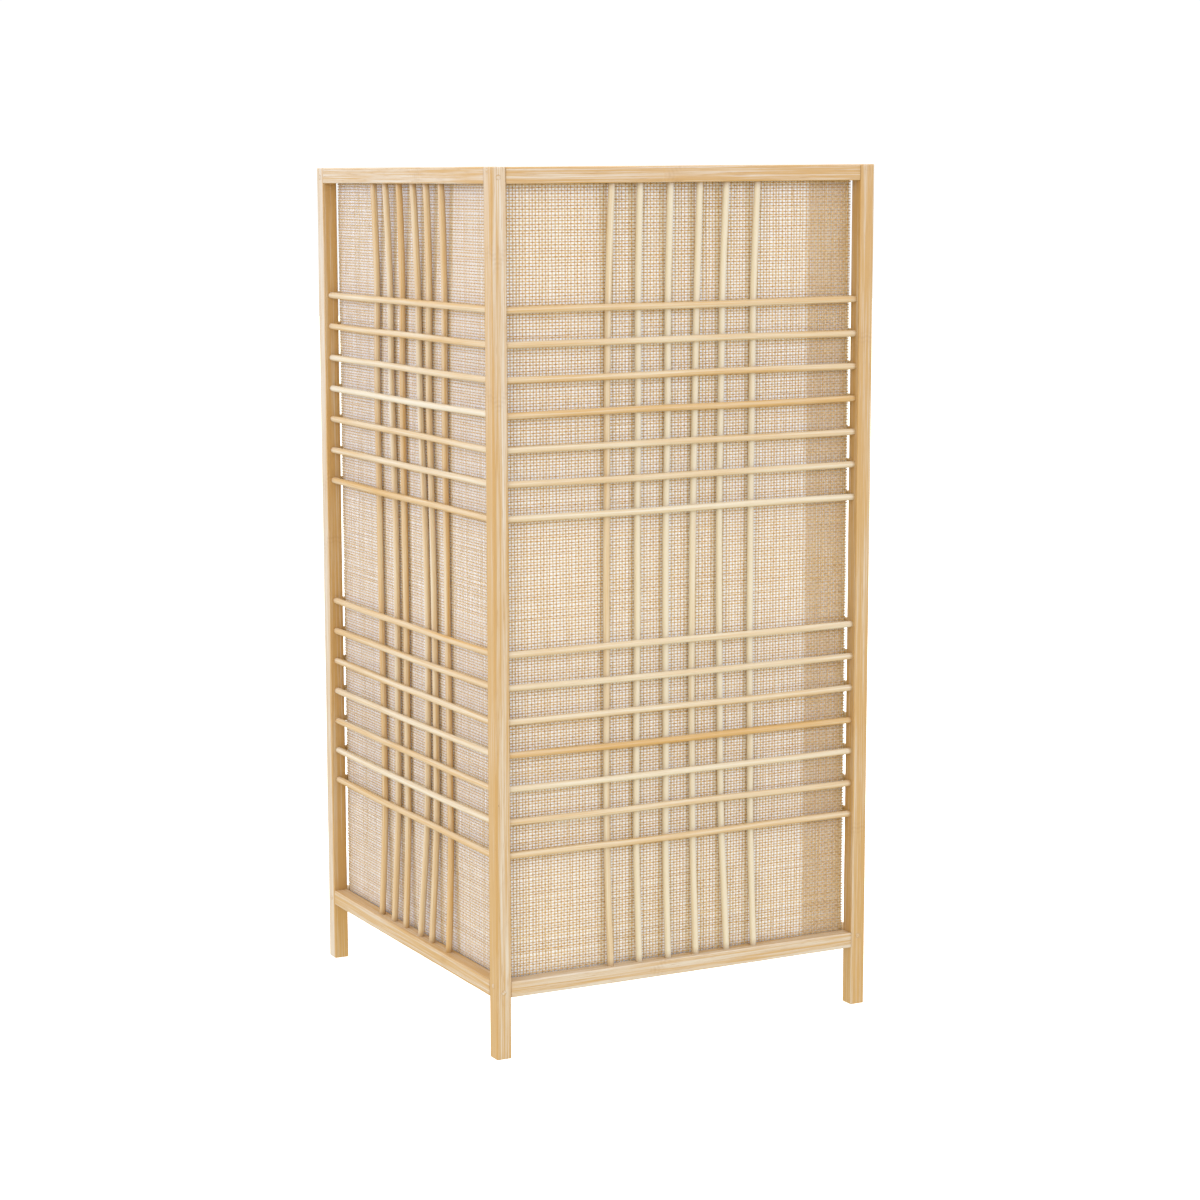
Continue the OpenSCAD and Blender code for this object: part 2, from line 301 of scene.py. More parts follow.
def rings(count, around):
    """Quads between count closed rings of as many points as around."""
    i, j = np.meshgrid(np.arange(count - 1), np.arange(around), indexing="ij")
    k = (j + 1) % around
    return np.stack([i * around + j, i * around + k, (i + 1) * around + k,
                     (i + 1) * around + j], -1).reshape(-1, 4)


def closed_rings(count, around):
    """The same, with the last ring joined to the first one."""
    i = np.arange(around)
    j = (i + 1) % around
    last = (count - 1) * around
    joint = np.stack([last + i, last + j, j, i], -1)
    return np.concatenate([rings(count, around), joint])


def turn(points, k):
    """Front-side points turned to side k."""
    c, s = ((1, 0), (0, 1), (-1, 0), (0, -1))[k]
    x, y = points[..., 0], points[..., 1]
    return np.stack([c * x - s * y, s * x + c * y, points[..., 2]], -1)


def wobble(t, seed, waves=(0.7, 1.6, 3.1)):
    """A smooth random curve over t = 0..1, about 1 high."""
    local_rng = np.random.default_rng(seed)
    phases = local_rng.uniform(0, 2 * math.pi, len(waves))
    weights = local_rng.uniform(0.4, 1, len(waves)) / np.array(waves) ** 0.7
    return sum(w * np.sin(2 * math.pi * f * t + p)
               for f, p, w in zip(waves, phases, weights)) / weights.sum()


# ---- bars ----

def section(half_x, half_y, r, steps=4, flats=6):
    """A rounded rectangle's points, with a few along its flat sides."""
    points = []
    for q, (sx, sy) in enumerate(((1, 1), (-1, 1), (-1, -1), (1, -1))):
        arc = [(sx * (half_x - r) + r * math.cos(a), sy * (half_y - r) + r * math.sin(a))
               for a in np.linspace(0, math.pi / 2, steps + 1) + q * math.pi / 2]
        if points:
            points += [tuple(np.array(points[-1]) * (1 - t) + np.array(arc[0]) * t)
                       for t in np.arange(1, flats) / flats]
        points += arc
    points += [tuple(np.array(points[-1]) * (1 - t) + np.array(points[0]) * t)
               for t in np.arange(1, flats) / flats]
    return np.array(points)


def bar(length, width, depth, r, seed, end_r=0.5, knuckles=()):
    """A bar along local Z from 0, with its grain, and a faint band at each knuckle."""
    ends = [(end_r * (1 - math.sin(a)), end_r * (1 - math.cos(a)))
            for a in np.radians((0, 30, 60, 90))]
    inner = np.arange(end_r + 2, length - end_r - 1.5, 2.5)
    for z in knuckles:
        inner = np.sort(np.concatenate([inner, np.arange(z - 12, z + 12, 0.6)]))
    stations = ([(w, i) for i, w in ends] + [(w, 0.0) for w in inner]
                + [(length - w, i) for i, w in reversed(ends)])
    points, mark = [], []
    for w, inset in stations:
        swell = 0.05 * wobble(w / length, seed, (2.3, 5.1, 9.7))
        ring = section(width / 2 - inset + swell, depth / 2 - inset + swell, r)
        points.append(np.column_stack([ring, np.full(len(ring), w)]))
        band = 0.0
        for z in knuckles:
            skew = 1.6 * np.abs(ring[:, 0] + 0.8) + 0.6 * np.sin(ring[:, 1] * 0.9 + z)
            ripple = 0.5 + 0.5 * np.cos((w - z - skew) * 1.9)
            band = np.maximum(band, ripple * np.exp(-((w - z - skew) / 4.5) ** 2) * 0.20)
        mark.append(np.broadcast_to(band, len(ring)))
    around, count = len(points[0]), len(stations)
    points = np.concatenate(points)
    grain = points + np.random.default_rng(seed + 2).uniform(-400, 400, 3)
    points[:, 0] += 0.12 * wobble(points[:, 2] / length, seed + 1, (0.6, 1.3))
    caps = [list(range(around))[::-1], list(range((count - 1) * around, count * around))]
    return points, grain, np.concatenate(mark), rings(count, around), caps


def upright_bar(points, k):
    return turn(points + np.array([-POST_MID, -POST_MID, 0]), k)


def lying_bar(points, k, z):
    """The bar's local Z lies along the side's X, its local Y stays out of the side."""
    laid = np.stack([points[:, 2] - INNER, points[:, 1] - POST_MID, z + points[:, 0]], -1)
    return turn(laid, k)


# how deep the colour of each post is, and what its faces add: local -X, +X, -Y, +Y. The
# faces' additions are painted shade, deeper on the sides that the lights reach less
POST_TONES_AND_SHADE = {
    "front_left": (0.06, 0.6, 0.3, 0.0, 0.2),
    "front_right": (0.45, 0.0, 0.2, 0.0, 0.0),
    "back_right": (0.15, 0.1, 0.2, 0.0, 0.2),
    "back_left": (-0.22, 0.0, 0.7, 0.0, 0.3),
}
POST_EDGE, RAIL_EDGE = 0.6, 0.8                     # radii of the rounded edges
# how deep the colour of each rail is, in the order of SIDES
RAIL_TONES = {"bottom": (0.05, 0.10, 0.0, 0.40), "top": (0.38, 0.0, 0.1, 0.2)}
KNUCKLE_AT = {("top", "left"): 163.0, ("top", "front"): 120.0}
RAIL_GAP = 0.05             # between a rail's end and the post


def frame_bars(material):
    for k, corner in enumerate(CORNERS):
        points, grain, mark, quads, caps = bar(TOP, STOCK, STOCK, POST_EDGE, 100 + 10 * k,
                                               knuckles=rng.uniform(60, 560, 2))
        base, left, right, front, rear = POST_TONES_AND_SHADE[corner]
        x, y, z = points.T
        flat = STOCK / 2 - 0.9                            # points beyond it are on a face
        # the faces' additions are painted shade; on the local -X face it fades, so that
        # face is lighter towards the top
        tone = base + left * (x < -flat) * (1 - 0.8 * (z / TOP) ** 4) + right * (x > flat)
        tone += front * (y < -flat) + rear * (y > flat)
        if corner == "front_left":                        # a brown line down its corner
            edge = (x < -flat) & (y < -flat)
            tone += edge * (0.25 + 0.35 * wobble(z / TOP, 7, (1.1, 2.3, 4.9)))
        make(f"post_{corner}_bamboo", upright_bar(points, k), quads, material,
             f"post_{corner}", "bamboo_frame", caps=caps, grain=grain, tone=tone,
             mark=mark)
    for level, z in zip(("bottom", "top"), RAIL_MIDS):
        for k, side in enumerate(SIDES):
            seed = 300 + 10 * k + (level == "top") * 50
            knuckles = [KNUCKLE_AT.get((level, side), INNER + rng.uniform(-80, 80))]
            points, grain, mark, quads, caps = bar(2 * (INNER - RAIL_GAP), RAIL_H, STOCK,
                                                   RAIL_EDGE, seed, 0.6, knuckles)
            points[:, 2] += RAIL_GAP
            tone = np.full(len(points), RAIL_TONES[level][k])
            # painted shade in the joint, where the rail's end meets the post
            joint = np.minimum(points[:, 2], 2 * INNER - points[:, 2])
            mark = np.maximum(mark, 0.55 * np.exp(-(joint / 0.5) ** 2))
            make(f"{level}_rail_{side}_bamboo", lying_bar(points, k, z), quads[:, ::-1],
                 material, f"{level}_rail_{side}", "bamboo_frame",
                 caps=[c[::-1] for c in caps], grain=grain, tone=tone, mark=mark)


DOWEL_LONG = 22.0
DOWEL_PROUD = 0.05          # so that its end isn't in the post's own face
# radius, depth and darkness from the middle of its end to the far one; the dark ring at
# the rim is painted shade where the dowel meets its hole
DOWEL_PROFILE = [(0.05, 0.0, 0.1), (0.7, 0.0, 0.0), (1.35, 0.0, 0.05),
                 (1.62, -0.01, 0.45), (1.8, -0.06, 1.0), (1.8, 0.4, 1.0),
                 (1.8, DOWEL_LONG, 0.2), (0.3, DOWEL_LONG, 0.2)]
# the way that the dowel at each end of a rail points, and its height from the rail's
# middle, which keeps it clear of the next rail's dowel
DOWEL_WAYS = ((1, 2.8), (-1, -1.2))
DARKEST = 0.55              # the mark, painted shade at the ring, where the profile's darkness is 1


def dowels(material):
    """The dowels' ends show as discs flush with the posts, in a thin dark ring of painted
    shade.
    """
    around = 28
    angle = np.arange(around) * 2 * math.pi / around
    verts, quads, caps, grain, mark = [], [], [], [], []
    for k in range(4):
        for z in RAIL_MIDS:
            for direction, height in DOWEL_WAYS:
                base = sum(len(v) for v in verts)
                ring = [np.stack([direction * (-HALF - DOWEL_PROUD + depth) + 0 * angle,
                                  -POST_MID + r * np.cos(angle),
                                  z + height + r * np.sin(angle)], -1)
                        for r, depth, _ in DOWEL_PROFILE]
                verts.append(turn(np.concatenate(ring), k))
                q = rings(len(ring), around)
                quads.append((q[:, ::-1] if direction < 0 else q) + base)
                for first in (0, (len(ring) - 1) * around):
                    cap = [base + first + i for i in range(around)]
                    caps.append(cap if (first == 0) == (direction < 0) else cap[::-1])
                cross = [np.stack([r * np.cos(angle), r * np.sin(angle),
                                   0 * angle + depth * 0.02], -1)
                         for r, depth, _ in DOWEL_PROFILE]
                grain.append(np.concatenate(cross) + rng.uniform(-90, 90, 3))
                mark.append(np.repeat([dark * DARKEST for _, _, dark in DOWEL_PROFILE],
                                      around))
    verts = np.concatenate(verts)
    make("dowel_ends", verts, np.concatenate(quads), material, "frame_dowels", "dowel",
         caps=caps, grain=np.concatenate(grain), mark=np.concatenate(mark),
         tone=np.full(len(verts), 0.1))


# ---- rods ----

# how deep the colour of the rods across each side is, and of the upright ones; the
# upright ones' tones by side are painted light and shade, much paler at the front and
# deeper on the left
ACROSS_TONES = (-0.05, 0.0, 0.0, 0.08)
UPRIGHT_TONES_LIGHT_AND_SHADE = (-0.68, 0.0, 0.0, 0.10)
ODD_ROD = 3                 # the fourth rod up: brown at the front, pale on other sides
BROWN, PALE = 0.5, -0.35    # what such a rod adds to its tone
ROD_AROUND = 16             # points round a rod
ACROSS_DEPTH, UPRIGHT_DEPTH = 4.15, 8.8             # rods' middles, in from the outside
ACROSS_LET_IN, UPRIGHT_LET_IN = 3.5, 4.0            # how far they enter the wood
CROSSING = 55.0             # rods spring outwards up to this far from the middle


def tube(path, axis, seed):
    """A rod round path, whose rings lie across axis."""
    angle = np.arange(ROD_AROUND) * 2 * math.pi / ROD_AROUND
    t = np.linspace(0, 1, len(path))
    radius = ROD_R * (1 + 0.015 * wobble(t, seed, (2.1, 4.7, 8.3)))
    u, v = {0: ((0, 1, 0), (0, 0, 1)), 2: ((1, 0, 0), (0, 1, 0))}[axis]
    circle = np.cos(angle)[:, None] * np.array(u) + np.sin(angle)[:, None] * np.array(v)
    ring = radius[:, None, None] * circle[None]
    points = path[:, None] + ring
    grain = ring + path[:, axis][:, None, None] * np.eye(3)[axis]
    if axis == 0:
        grain = grain[..., [1, 2, 0]]
    offset = np.random.default_rng(seed + 5).uniform(-500, 500, 3)
    return points.reshape(-1, 3), grain.reshape(-1, 3) + offset


def bundle(name, node, paths, axis, k, seed, material):
    """The rods of one node on side k, with painted shade where they enter the wood."""
    across = axis == 0
    middle = 0 if across else (UPRIGHT_TOP + UPRIGHT_LOW) / 2
    reach = INNER if across else (UPRIGHT_TOP - UPRIGHT_LOW) / 2
    verts, grain, tone, quads, caps, mark = [], [], [], [], [], []
    for i, path in enumerate(paths):
        base = sum(len(v) for v in verts)
        points, g = tube(path, axis, seed + 7 * i)
        verts.append(turn(points, k))
        grain.append(g)
        # for upright rods the side's tone is painted light and shade
        own = (ACROSS_TONES if across else UPRIGHT_TONES_LIGHT_AND_SHADE)[k] + rng.uniform(-0.22, 0.22)
        if across and i == ODD_ROD:
            own += BROWN if k == 0 else PALE
        if not across and i == 0 and k == 0:
            own += BROWN
        tone.append(np.full(len(points), own))
        # painted shade on each rod where it enters the wood
        inside = np.maximum(reach - np.abs(points[:, axis] - middle), 0)
        mark.append(0.5 * np.exp(-(inside / 0.7) ** 2))
        quads.append(rings(len(path), ROD_AROUND) + base)
        last = base + (len(path) - 1) * ROD_AROUND
        caps += [list(range(base, base + ROD_AROUND))[::-1],
                 list(range(last, last + ROD_AROUND))]
    make(name, np.concatenate(verts), np.concatenate(quads), material, node, "bamboo_rod",
         caps=caps, grain=np.concatenate(grain), tone=np.concatenate(tone),
         mark=np.concatenate(mark))


def across_path(z, seed):
    """A rod across a side, pushed outwards where it passes the uprights."""
    reach = INNER + ACROSS_LET_IN
    x = np.linspace(-reach, reach, 46)
    t = (x - x[0]) / (x[-1] - x[0])
    away = np.clip((np.abs(x) - CROSSING) / (INNER - CROSSING), 0, 1)
    local_rng = np.random.default_rng(seed)
    lean = local_rng.uniform(-0.5, 0.5, 2)
    rise = lean[0] + (lean[1] - lean[0]) * t + 0.35 * wobble(t, seed, (0.8, 1.7))
    depth = ACROSS_DEPTH + 1.0 * away ** 1.4
    return np.stack([x, -HALF + depth, z + rise], -1)


# how far each upright rod strays sideways at its top, at three heights in between and
# at its foot
BOWS = {
    "front": [(2.0, 0.0, -1.0, -0.9, 0.2), (0.3, 0.3, 0.1, -0.7, -0.6),
              (0.3, 0.4, -0.7, -0.7, -0.4), (0.2, -1.1, -3.0, -2.6, -1.2),
              (-2.0, -3.9, -4.6, -2.7, 0.5), (-0.9, -1.8, -2.9, -1.6, 0.0)],
    "left": [(2.0, -3.0, -1.7, 0.8, 0.5), (0.0, -0.7, 3.8, 2.8, 0.0),
             (0.8, -4.4, -3.4, -3.3, -2.5), (1.2, 1.6, 10.2, 8.8, 0.5),
             (0.5, -5.5, -1.5, 0.6, -3.5), (1.5, -2.8, -2.2, -0.3, 2.2)],
    "right": [(1, 0, -1, 0, 1), (-1, 1, 1.5, 1, 0), (0.5, 0, -3, -2, -1),
              (1.5, 4, 5, 2, 0), (-1, 0, 1, 1, 1), (0, -1, -2.5, -1, 1)],
    "back": [(-1, 1, 2, 2, 1), (1, 0, -1, -1, 0), (0, 2, 5, 3, 1), (-1.5, -2, -1, 0, 0),
             (1, 1, 1.5, 0, -1), (1, -1, -2, -1, 0)],
}


def stray(t, values):
    """A smooth curve (Catmull-Rom) through values, the first of them at t = 1."""
    p = np.array([values[-1], *values[::-1], values[0]], float)
    spans = len(values) - 1
    i = np.minimum((t * spans).astype(int), spans - 1)
    f = t * spans - i
    a, b, c, d = p[i], p[i + 1], p[i + 2], p[i + 3]
    cubic = 3 * (b - c) + d - a
    square = 2 * a - 5 * b + 4 * c - d
    return b + 0.5 * f * (c - a + f * (square + f * cubic))


def upright_path(x0, bow, seed):
    """An upright rod behind the others, coming forward to the rails at its ends."""
    low, high = UPRIGHT_LOW - UPRIGHT_LET_IN, UPRIGHT_TOP + UPRIGHT_LET_IN
    z = np.linspace(low, high, 60)
    t = (z - low) / (high - low)
    end = np.maximum(np.clip((LOWER_Z[0] - z) / (LOWER_Z[0] - low), 0, 1),
                     np.clip((z - UPPER_Z[-1]) / (high - UPPER_Z[-1]), 0, 1))
    depth = UPRIGHT_DEPTH - 3.6 * end ** 1.3
    x = x0 + stray(t, bow) + 0.35 * wobble(t, seed, (1.4, 2.7, 4.4))
    return np.stack([x, -HALF + depth, z], -1)


def rods(material):
    for k, side in enumerate(SIDES):
        seed = 1000 * (k + 1)
        for level, heights in (("upper", UPPER_Z), ("lower", LOWER_Z)):
            seed += 200
            bundle(f"{level}_rods_{side}_bamboo", f"{level}_rods_{side}",
                   [across_path(z, seed + i) for i, z in enumerate(heights)], 0, k, seed,
                   material)
        bundle(f"upright_rods_{side}_bamboo", f"upright_rods_{side}",
               [upright_path(x, BOWS[side][i], seed + 60 + i)
                for i, x in enumerate(UPRIGHT_X)], 2, k, seed + 90, material)


# ---- woven sheet ----

WARP, WEFT = 2.4, 1.97         # spacing of the upright and the lying threads
WARP_W, WEFT_W = 0.70, 0.68    # their widths
LIFT = 0.24                    # how far a thread waves in and out
WARP_RIDGE, WEFT_RIDGE = 0.12, 0.28                 # how far its middle stands proud
TUCK = 0.75                    # how far behind the weave its tucked end lies
TUCKED_THIN = 0.64             # how wide the threads are there, compared with the rest
SEAM = 1.4 * SHEET_CORNER      # where the outer end lies, from the corner's beginning
THREAD_APART = 7.3             # how far apart neighbouring threads lie in the grain


def wrap(s, half, corner):
    """Place and outward direction at distance s round the shade, from the front's middle
    towards the right."""
    straight, arc = 2 * (half - corner), corner * math.pi / 2
    s = np.asarray(s, float) + straight / 2
    k = np.floor(s / (straight + arc)).astype(int)
    d = s - k * (straight + arc)
    on_arc = np.clip(d - straight, 0, None) / corner
    x = np.minimum(d, straight) - straight / 2
    out = np.stack([np.sin(on_arc), -np.cos(on_arc)], -1)
    place = np.stack([x, np.full_like(x, -(half - corner))], -1) + corner * out
    c, sn = np.cos(k * math.pi / 2), np.sin(k * math.pi / 2)
    return [np.stack([c * p[..., 0] - sn * p[..., 1], sn * p[..., 0] + c * p[..., 1]], -1)
            for p in (place, out)]


def drift(shape, seed, size, smooth):
    """Smooth random drift along axis 1 for each row."""
    local_rng = np.random.default_rng(seed)
    raw = local_rng.normal(0, 1, (shape[0], shape[1] // smooth + 3))
    at = np.linspace(0, raw.shape[1] - 2.001, shape[1])
    i = at.astype(int)
    f = at - i
    f = f * f * (3 - 2 * f)
    return size * (raw[:, i] * (1 - f) + raw[:, i + 1] * f)


def woven_layer(start, end, half, corner, seed, thin=1.0):
    """Both sets of threads from start to end round the shade, as open ribbons with a
    crown."""
    local_rng = np.random.default_rng(seed)
    tall = SHEET_TOP - SHEET_LOW
    side = 2 * (half - corner) + corner * math.pi / 2
    step = side / round(side / WARP)                     # so that each corner has a warp
    first = side / 2 - step * int((side / 2 - start) / step)
    n_warp, n_weft = int((end - first) / step) + 1, int(tall / WEFT) + 1
    s0 = first + step * np.arange(n_warp)
    free = np.abs((s0 - side / 2) % side - step) > 2 * step
    s0 += local_rng.normal(0, 0.13, n_warp) * free
    z0 = SHEET_LOW + WEFT * np.arange(n_weft) + local_rng.normal(0, 0.09, n_weft)
    s = s0[:, None] + drift((n_warp, n_weft), seed + 1, 0.12, 9)
    z = z0[None, :] + drift((n_weft, n_warp), seed + 2, 0.10, 11).T
    z = np.clip(z, SHEET_LOW, SHEET_TOP)
    over = np.where((np.arange(n_warp)[:, None] + np.arange(n_weft)[None]) % 2, 1.0, -1.0)
    parts = []
    for warp in (True, False):
        width = thin * (WARP_W if warp else WEFT_W)
        w = width * (1 + 0.5 * drift(s.shape, seed + 3 + warp, 0.16, 5))
        w *= 1 + local_rng.normal(0, 0.10, (n_warp, 1) if warp else (1, n_weft))
        out = LIFT * (over if warp else -over)
        rows = []
        for edge in (-0.5, 0.0, 0.5):
            a = s + (edge * w if warp else 0)
            b = z + (0 if warp else edge * w)
            place, normal = wrap(a, half, corner)
            lift = out + ((WARP_RIDGE if warp else WEFT_RIDGE) if edge == 0 else 0)
            middle = place + normal * lift[..., None]
            rows.append(np.concatenate([middle, b[..., None]], -1))
        points = np.stack(rows, 2)                       # warp, weft, across, xyz
        index = np.arange(points[..., 0].size).reshape(points.shape[:3])
        if warp:
            a, b = index[:, :-1], index[:, 1:]
        else:
            b, a = index[:-1], index[1:]
        quads = np.stack([a[..., :-1], a[..., 1:], b[..., 1:], b[..., :-1]], -1)
        tone = local_rng.normal(-0.15 if warp else 0.0, 0.10,
                                (n_warp, 1) if warp else (1, n_weft))
        tone = tone - over * (0.35 if warp else 0.52)    # pale and brown ones take turns
        tone = np.broadcast_to(tone[..., None], points.shape[:3])
        shift = (np.arange(n_warp)[:, None] if warp else
                 np.arange(n_weft)[None]) * THREAD_APART + 0 * s
        along = z if warp else s
        grain = np.stack([shift[..., None] + 0 * tone, np.broadcast_to(
            np.array([-0.4, 0, 0.4]), tone.shape), along[..., None] + 0 * tone], -1)
        u = (s[..., None] + np.array([-0.5, 0, 0.5]) * (w[..., None] if warp else 0)
             - start) / (end - start)
        v = (z[..., None] + np.array([-0.5, 0, 0.5]) * (0 if warp else w[..., None])
             - SHEET_LOW) / tall
        parts.append((points, quads, tone, grain, u, v, warp))
    return parts


def woven_sheet(material):
    """The wrapped layer, and its tucked end behind the front's right edge."""
    straight = 2 * (SHEET_HALF - SHEET_CORNER)
    round_it = 4 * (straight + SHEET_CORNER * math.pi / 2)
    first = straight / 2                                 # the front right corner begins
    layers = woven_layer(first + SEAM - round_it, first + SEAM, SHEET_HALF, SHEET_CORNER,
                         11)
    layers += woven_layer(INNER - OVERLAP_W, first - 1, SHEET_HALF - TUCK, SHEET_CORNER,
                          23, TUCKED_THIN)
    verts, quads, tone, grain, uv = [], [], [], [], []
    base = 0
    for at, (points, q, t, g, u, v, warp) in enumerate(layers):
        verts.append(points.reshape(-1, 3))
        quads.append(q.reshape(-1, 4) + base)
        tone.append(t.ravel())
        grain.append(g.reshape(-1, 3))
        cell = np.stack([u, v], -1).reshape(-1, 2)
        # the wrapped layer takes most of the map, the tucked end a strip beside it
        low, size = ((0.0, 0.0), (0.94, 0.5)) if at < 2 else ((0.95, 0.0), (0.05, 0.5))
        uv.append(np.clip(cell, 0, 1) * size * np.array([1, 0.98]) + np.array(low)
                  + np.array([0, 0.5 if warp else 0.0]))
        base += len(verts[-1])
    sheet = make("woven_paper_sheet", np.concatenate(verts), np.concatenate(quads),
                 material, "woven_sheet", "woven_paper", grain=np.concatenate(grain),
                 tone=np.concatenate(tone))
    layer = sheet.data.uv_layers.new(name="OFBake")
    corners = np.empty(len(sheet.data.loops), np.int32)
    sheet.data.loops.foreach_get("vertex_index", corners)
    layer.data.foreach_set("uv", np.concatenate(uv)[corners].astype(np.float32).ravel())


LINER_CORNER, LINER_THICK = 0.8, 0.3
LINER_BACK = 0.42              # from the middle of the weave to the liner's face


def liner_sheet(material):
    """The white sheet right behind the weave, which gives way to the tucked end."""
    corner, half = LINER_CORNER, SHEET_HALF - LINER_BACK
    straight = 2 * (half - corner)
    round_it = 4 * (straight + corner * math.pi / 2)
    start = -straight / 2 - 20
    s = np.linspace(start, start + round_it, 561)[:-1]
    z = np.linspace(SHEET_LOW + 0.2, SHEET_TOP - 0.2, 60)
    place, normal = wrap(s % round_it, half, corner)
    in_front = normal[:, 1] < -0.9
    tucked = in_front / (1 + np.exp(-(place[:, 0] - INNER + OVERLAP_W) / 0.8))
    face = place - normal * (TUCK * tucked)[:, None]
    back = face - normal * LINER_THICK
    verts = np.concatenate([np.column_stack([way, np.full(len(s), h)])
                            for way, heights in ((face, z), (back, z[::-1]))
                            for h in heights])
    piece = make("liner_sheet", verts, closed_rings(2 * len(z), len(s)), material,
                 "shade_liner", "liner_paper")


# ---- lamp ----

def threaded(node, slot, body, material, crest, depth, pitch, inner):
    """A rolled round thread outside, a plain wall inside."""
    low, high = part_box(node)
    z_low, z_high = low.z / MM, high.z / MM
    around = 40
    rows = max(int((z_high - z_low) / pitch * 8), 8)
    z = np.linspace(z_low, z_high, rows)[:, None]
    angle = (np.arange(around) * 2 * math.pi / around)[None]
    fade = np.clip(np.minimum(z - z_low, z_high - z) / (pitch * 0.6), 0, 1)
    wave = 0.5 - 0.5 * np.cos(2 * math.pi * (z / pitch - angle / (2 * math.pi)))
    outer = crest - depth * (wave * fade + (1 - fade) * 0.5)
    shells = [np.stack([r * np.cos(angle), r * np.sin(angle), up + 0 * r], -1)
              for r, up in ((outer, z), (0 * outer + inner, z[::-1]))]
    verts = np.concatenate(shells).reshape(-1, 3)
    make(f"{node}_thread", verts, closed_rings(2 * rows, around), material, node, slot,
         body)


SCREW_X = 4.5                   # two screws at each end of the bar
BAR_THICK = 1.5                 # of the bar's turned-up ends, which the heads bear on
SHANK_R, SHANK_LONG = 1.2, 6.5
# radius and height of a pan head, from its edge to its middle
PAN_HEAD = ((2.2, 0.0), (2.2, 0.9), (2.05, 1.25), (1.7, 1.45), (1.35, 1.55), (1.0, 1.6),
            (0.7, 1.6), (0.45, 1.6), (0.2, 1.6))
CROSS_HALF, CROSS_REACH, CROSS_DEEP = 0.32, 1.45, 0.7


def screw_heads(material):
    """Pan heads with a cross recess, and their shanks."""
    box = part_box("bar_screws")
    z = (box[0].z + box[1].z) / 2 / MM
    reach = INNER - BAR_THICK
    around = 48
    angle = np.arange(around) * 2 * math.pi / around
    verts, quads, caps = [], [], []
    for k in (0, 2):
        for x in (-SCREW_X, SCREW_X):
            base = sum(len(v) for v in verts)
            twist = rng.uniform(0, math.pi / 2)
            ring = []
            for r, h in PAN_HEAD:
                cx, cz = r * np.cos(angle), r * np.sin(angle)
                a = np.abs(cx * math.cos(twist) + cz * math.sin(twist))
                b = np.abs(-cx * math.sin(twist) + cz * math.cos(twist))
                cut = (np.minimum(a, b) < CROSS_HALF) & (np.maximum(a, b) < CROSS_REACH)
                ring.append(np.stack([x + cx, h - reach - CROSS_DEEP * cut, z + cz], -1))
            shank = [np.stack([x + SHANK_R * np.cos(angle), 0 * angle + d - reach,
                               z + SHANK_R * np.sin(angle)], -1)
                     for d in (-SHANK_LONG, 0.0)]
            points = np.concatenate(shank + ring)
            verts.append(turn(points, k))
            quads.append(rings(len(ring) + 2, around)[:, ::-1] + base)
            end = base + (len(ring) + 1) * around
            caps += [list(range(base, base + around)),
                     list(range(end, end + around))[::-1]]
    make("cross_head_screws", np.concatenate(verts), np.concatenate(quads), material,
         "bar_screws", "zinc_steel", caps=caps)


def lamp():
    """The screws and threads are new pieces; the other CAD nodes get materials."""
    zinc = metal("zinc_steel", (0.70, 0.71, 0.72, 1), (0.55, 0.56, 0.58, 1), 0.34,
                 (1, 0.06, 1))
    brass = metal("brass", (0.80, 0.62, 0.30, 1), (0.66, 0.48, 0.22, 1), 0.28)
    nickel = metal("nickel", (0.78, 0.76, 0.72, 1), (0.66, 0.63, 0.58, 1), 0.22)
    plastic = moulded("white_plastic", (0.86, 0.86, 0.84, 1), (0.82, 0.82, 0.80, 1), 0.30,
                      Coat_Weight=0.2, Coat_Roughness=0.15)
    ivory = moulded("ivory_insulator", (0.80, 0.74, 0.62, 1), (0.74, 0.68, 0.56, 1), 0.55,
                    900, 0.2)
    glass = moulded("black_glass", (0.012, 0.012, 0.014, 1), (0.02, 0.02, 0.024, 1), 0.10,
                    600, 0.03, Coat_Weight=0.5)
    opal = moulded("opal_globe", (0.90, 0.90, 0.89, 1), (0.87, 0.87, 0.86, 1), 0.26,
                   500, 0.03, Subsurface_Weight=0.25, Subsurface_Scale=0.004,
                   Coat_Weight=0.15)
    threaded("cable_nipple", "brass", BODY, brass, crest=5.0, depth=0.35, pitch=1.0,
             inner=3.5)
    threaded("bulb_screw_cap", "nickel", BULB, nickel, crest=13.1, depth=0.8, pitch=3.63,
             inner=12.0)
    screw_heads(zinc)
    keep = {"lamp_bar": zinc, "lock_washer": zinc, "nipple_nut": brass,
            "holder_cap": plastic, "terminal_block": ivory, "terminal_screws": brass,
            "centre_contact": brass, "screw_shell": nickel, "holder_shell": plastic,
            "bulb_contact": nickel, "bulb_insulator": glass, "bulb_collar": plastic,
            "led_board": led_white(), "bulb_globe": opal}
    for node, material in keep.items():
        dress(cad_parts[node], material)


def dress(node, material):
    if not node.material_slots:
        node.data.materials.append(material)
    for slot in node.material_slots:
        slot.material = material


# ---- stage and light ----

LIT_POINT = (0, 0, 0.3)         # every light faces it


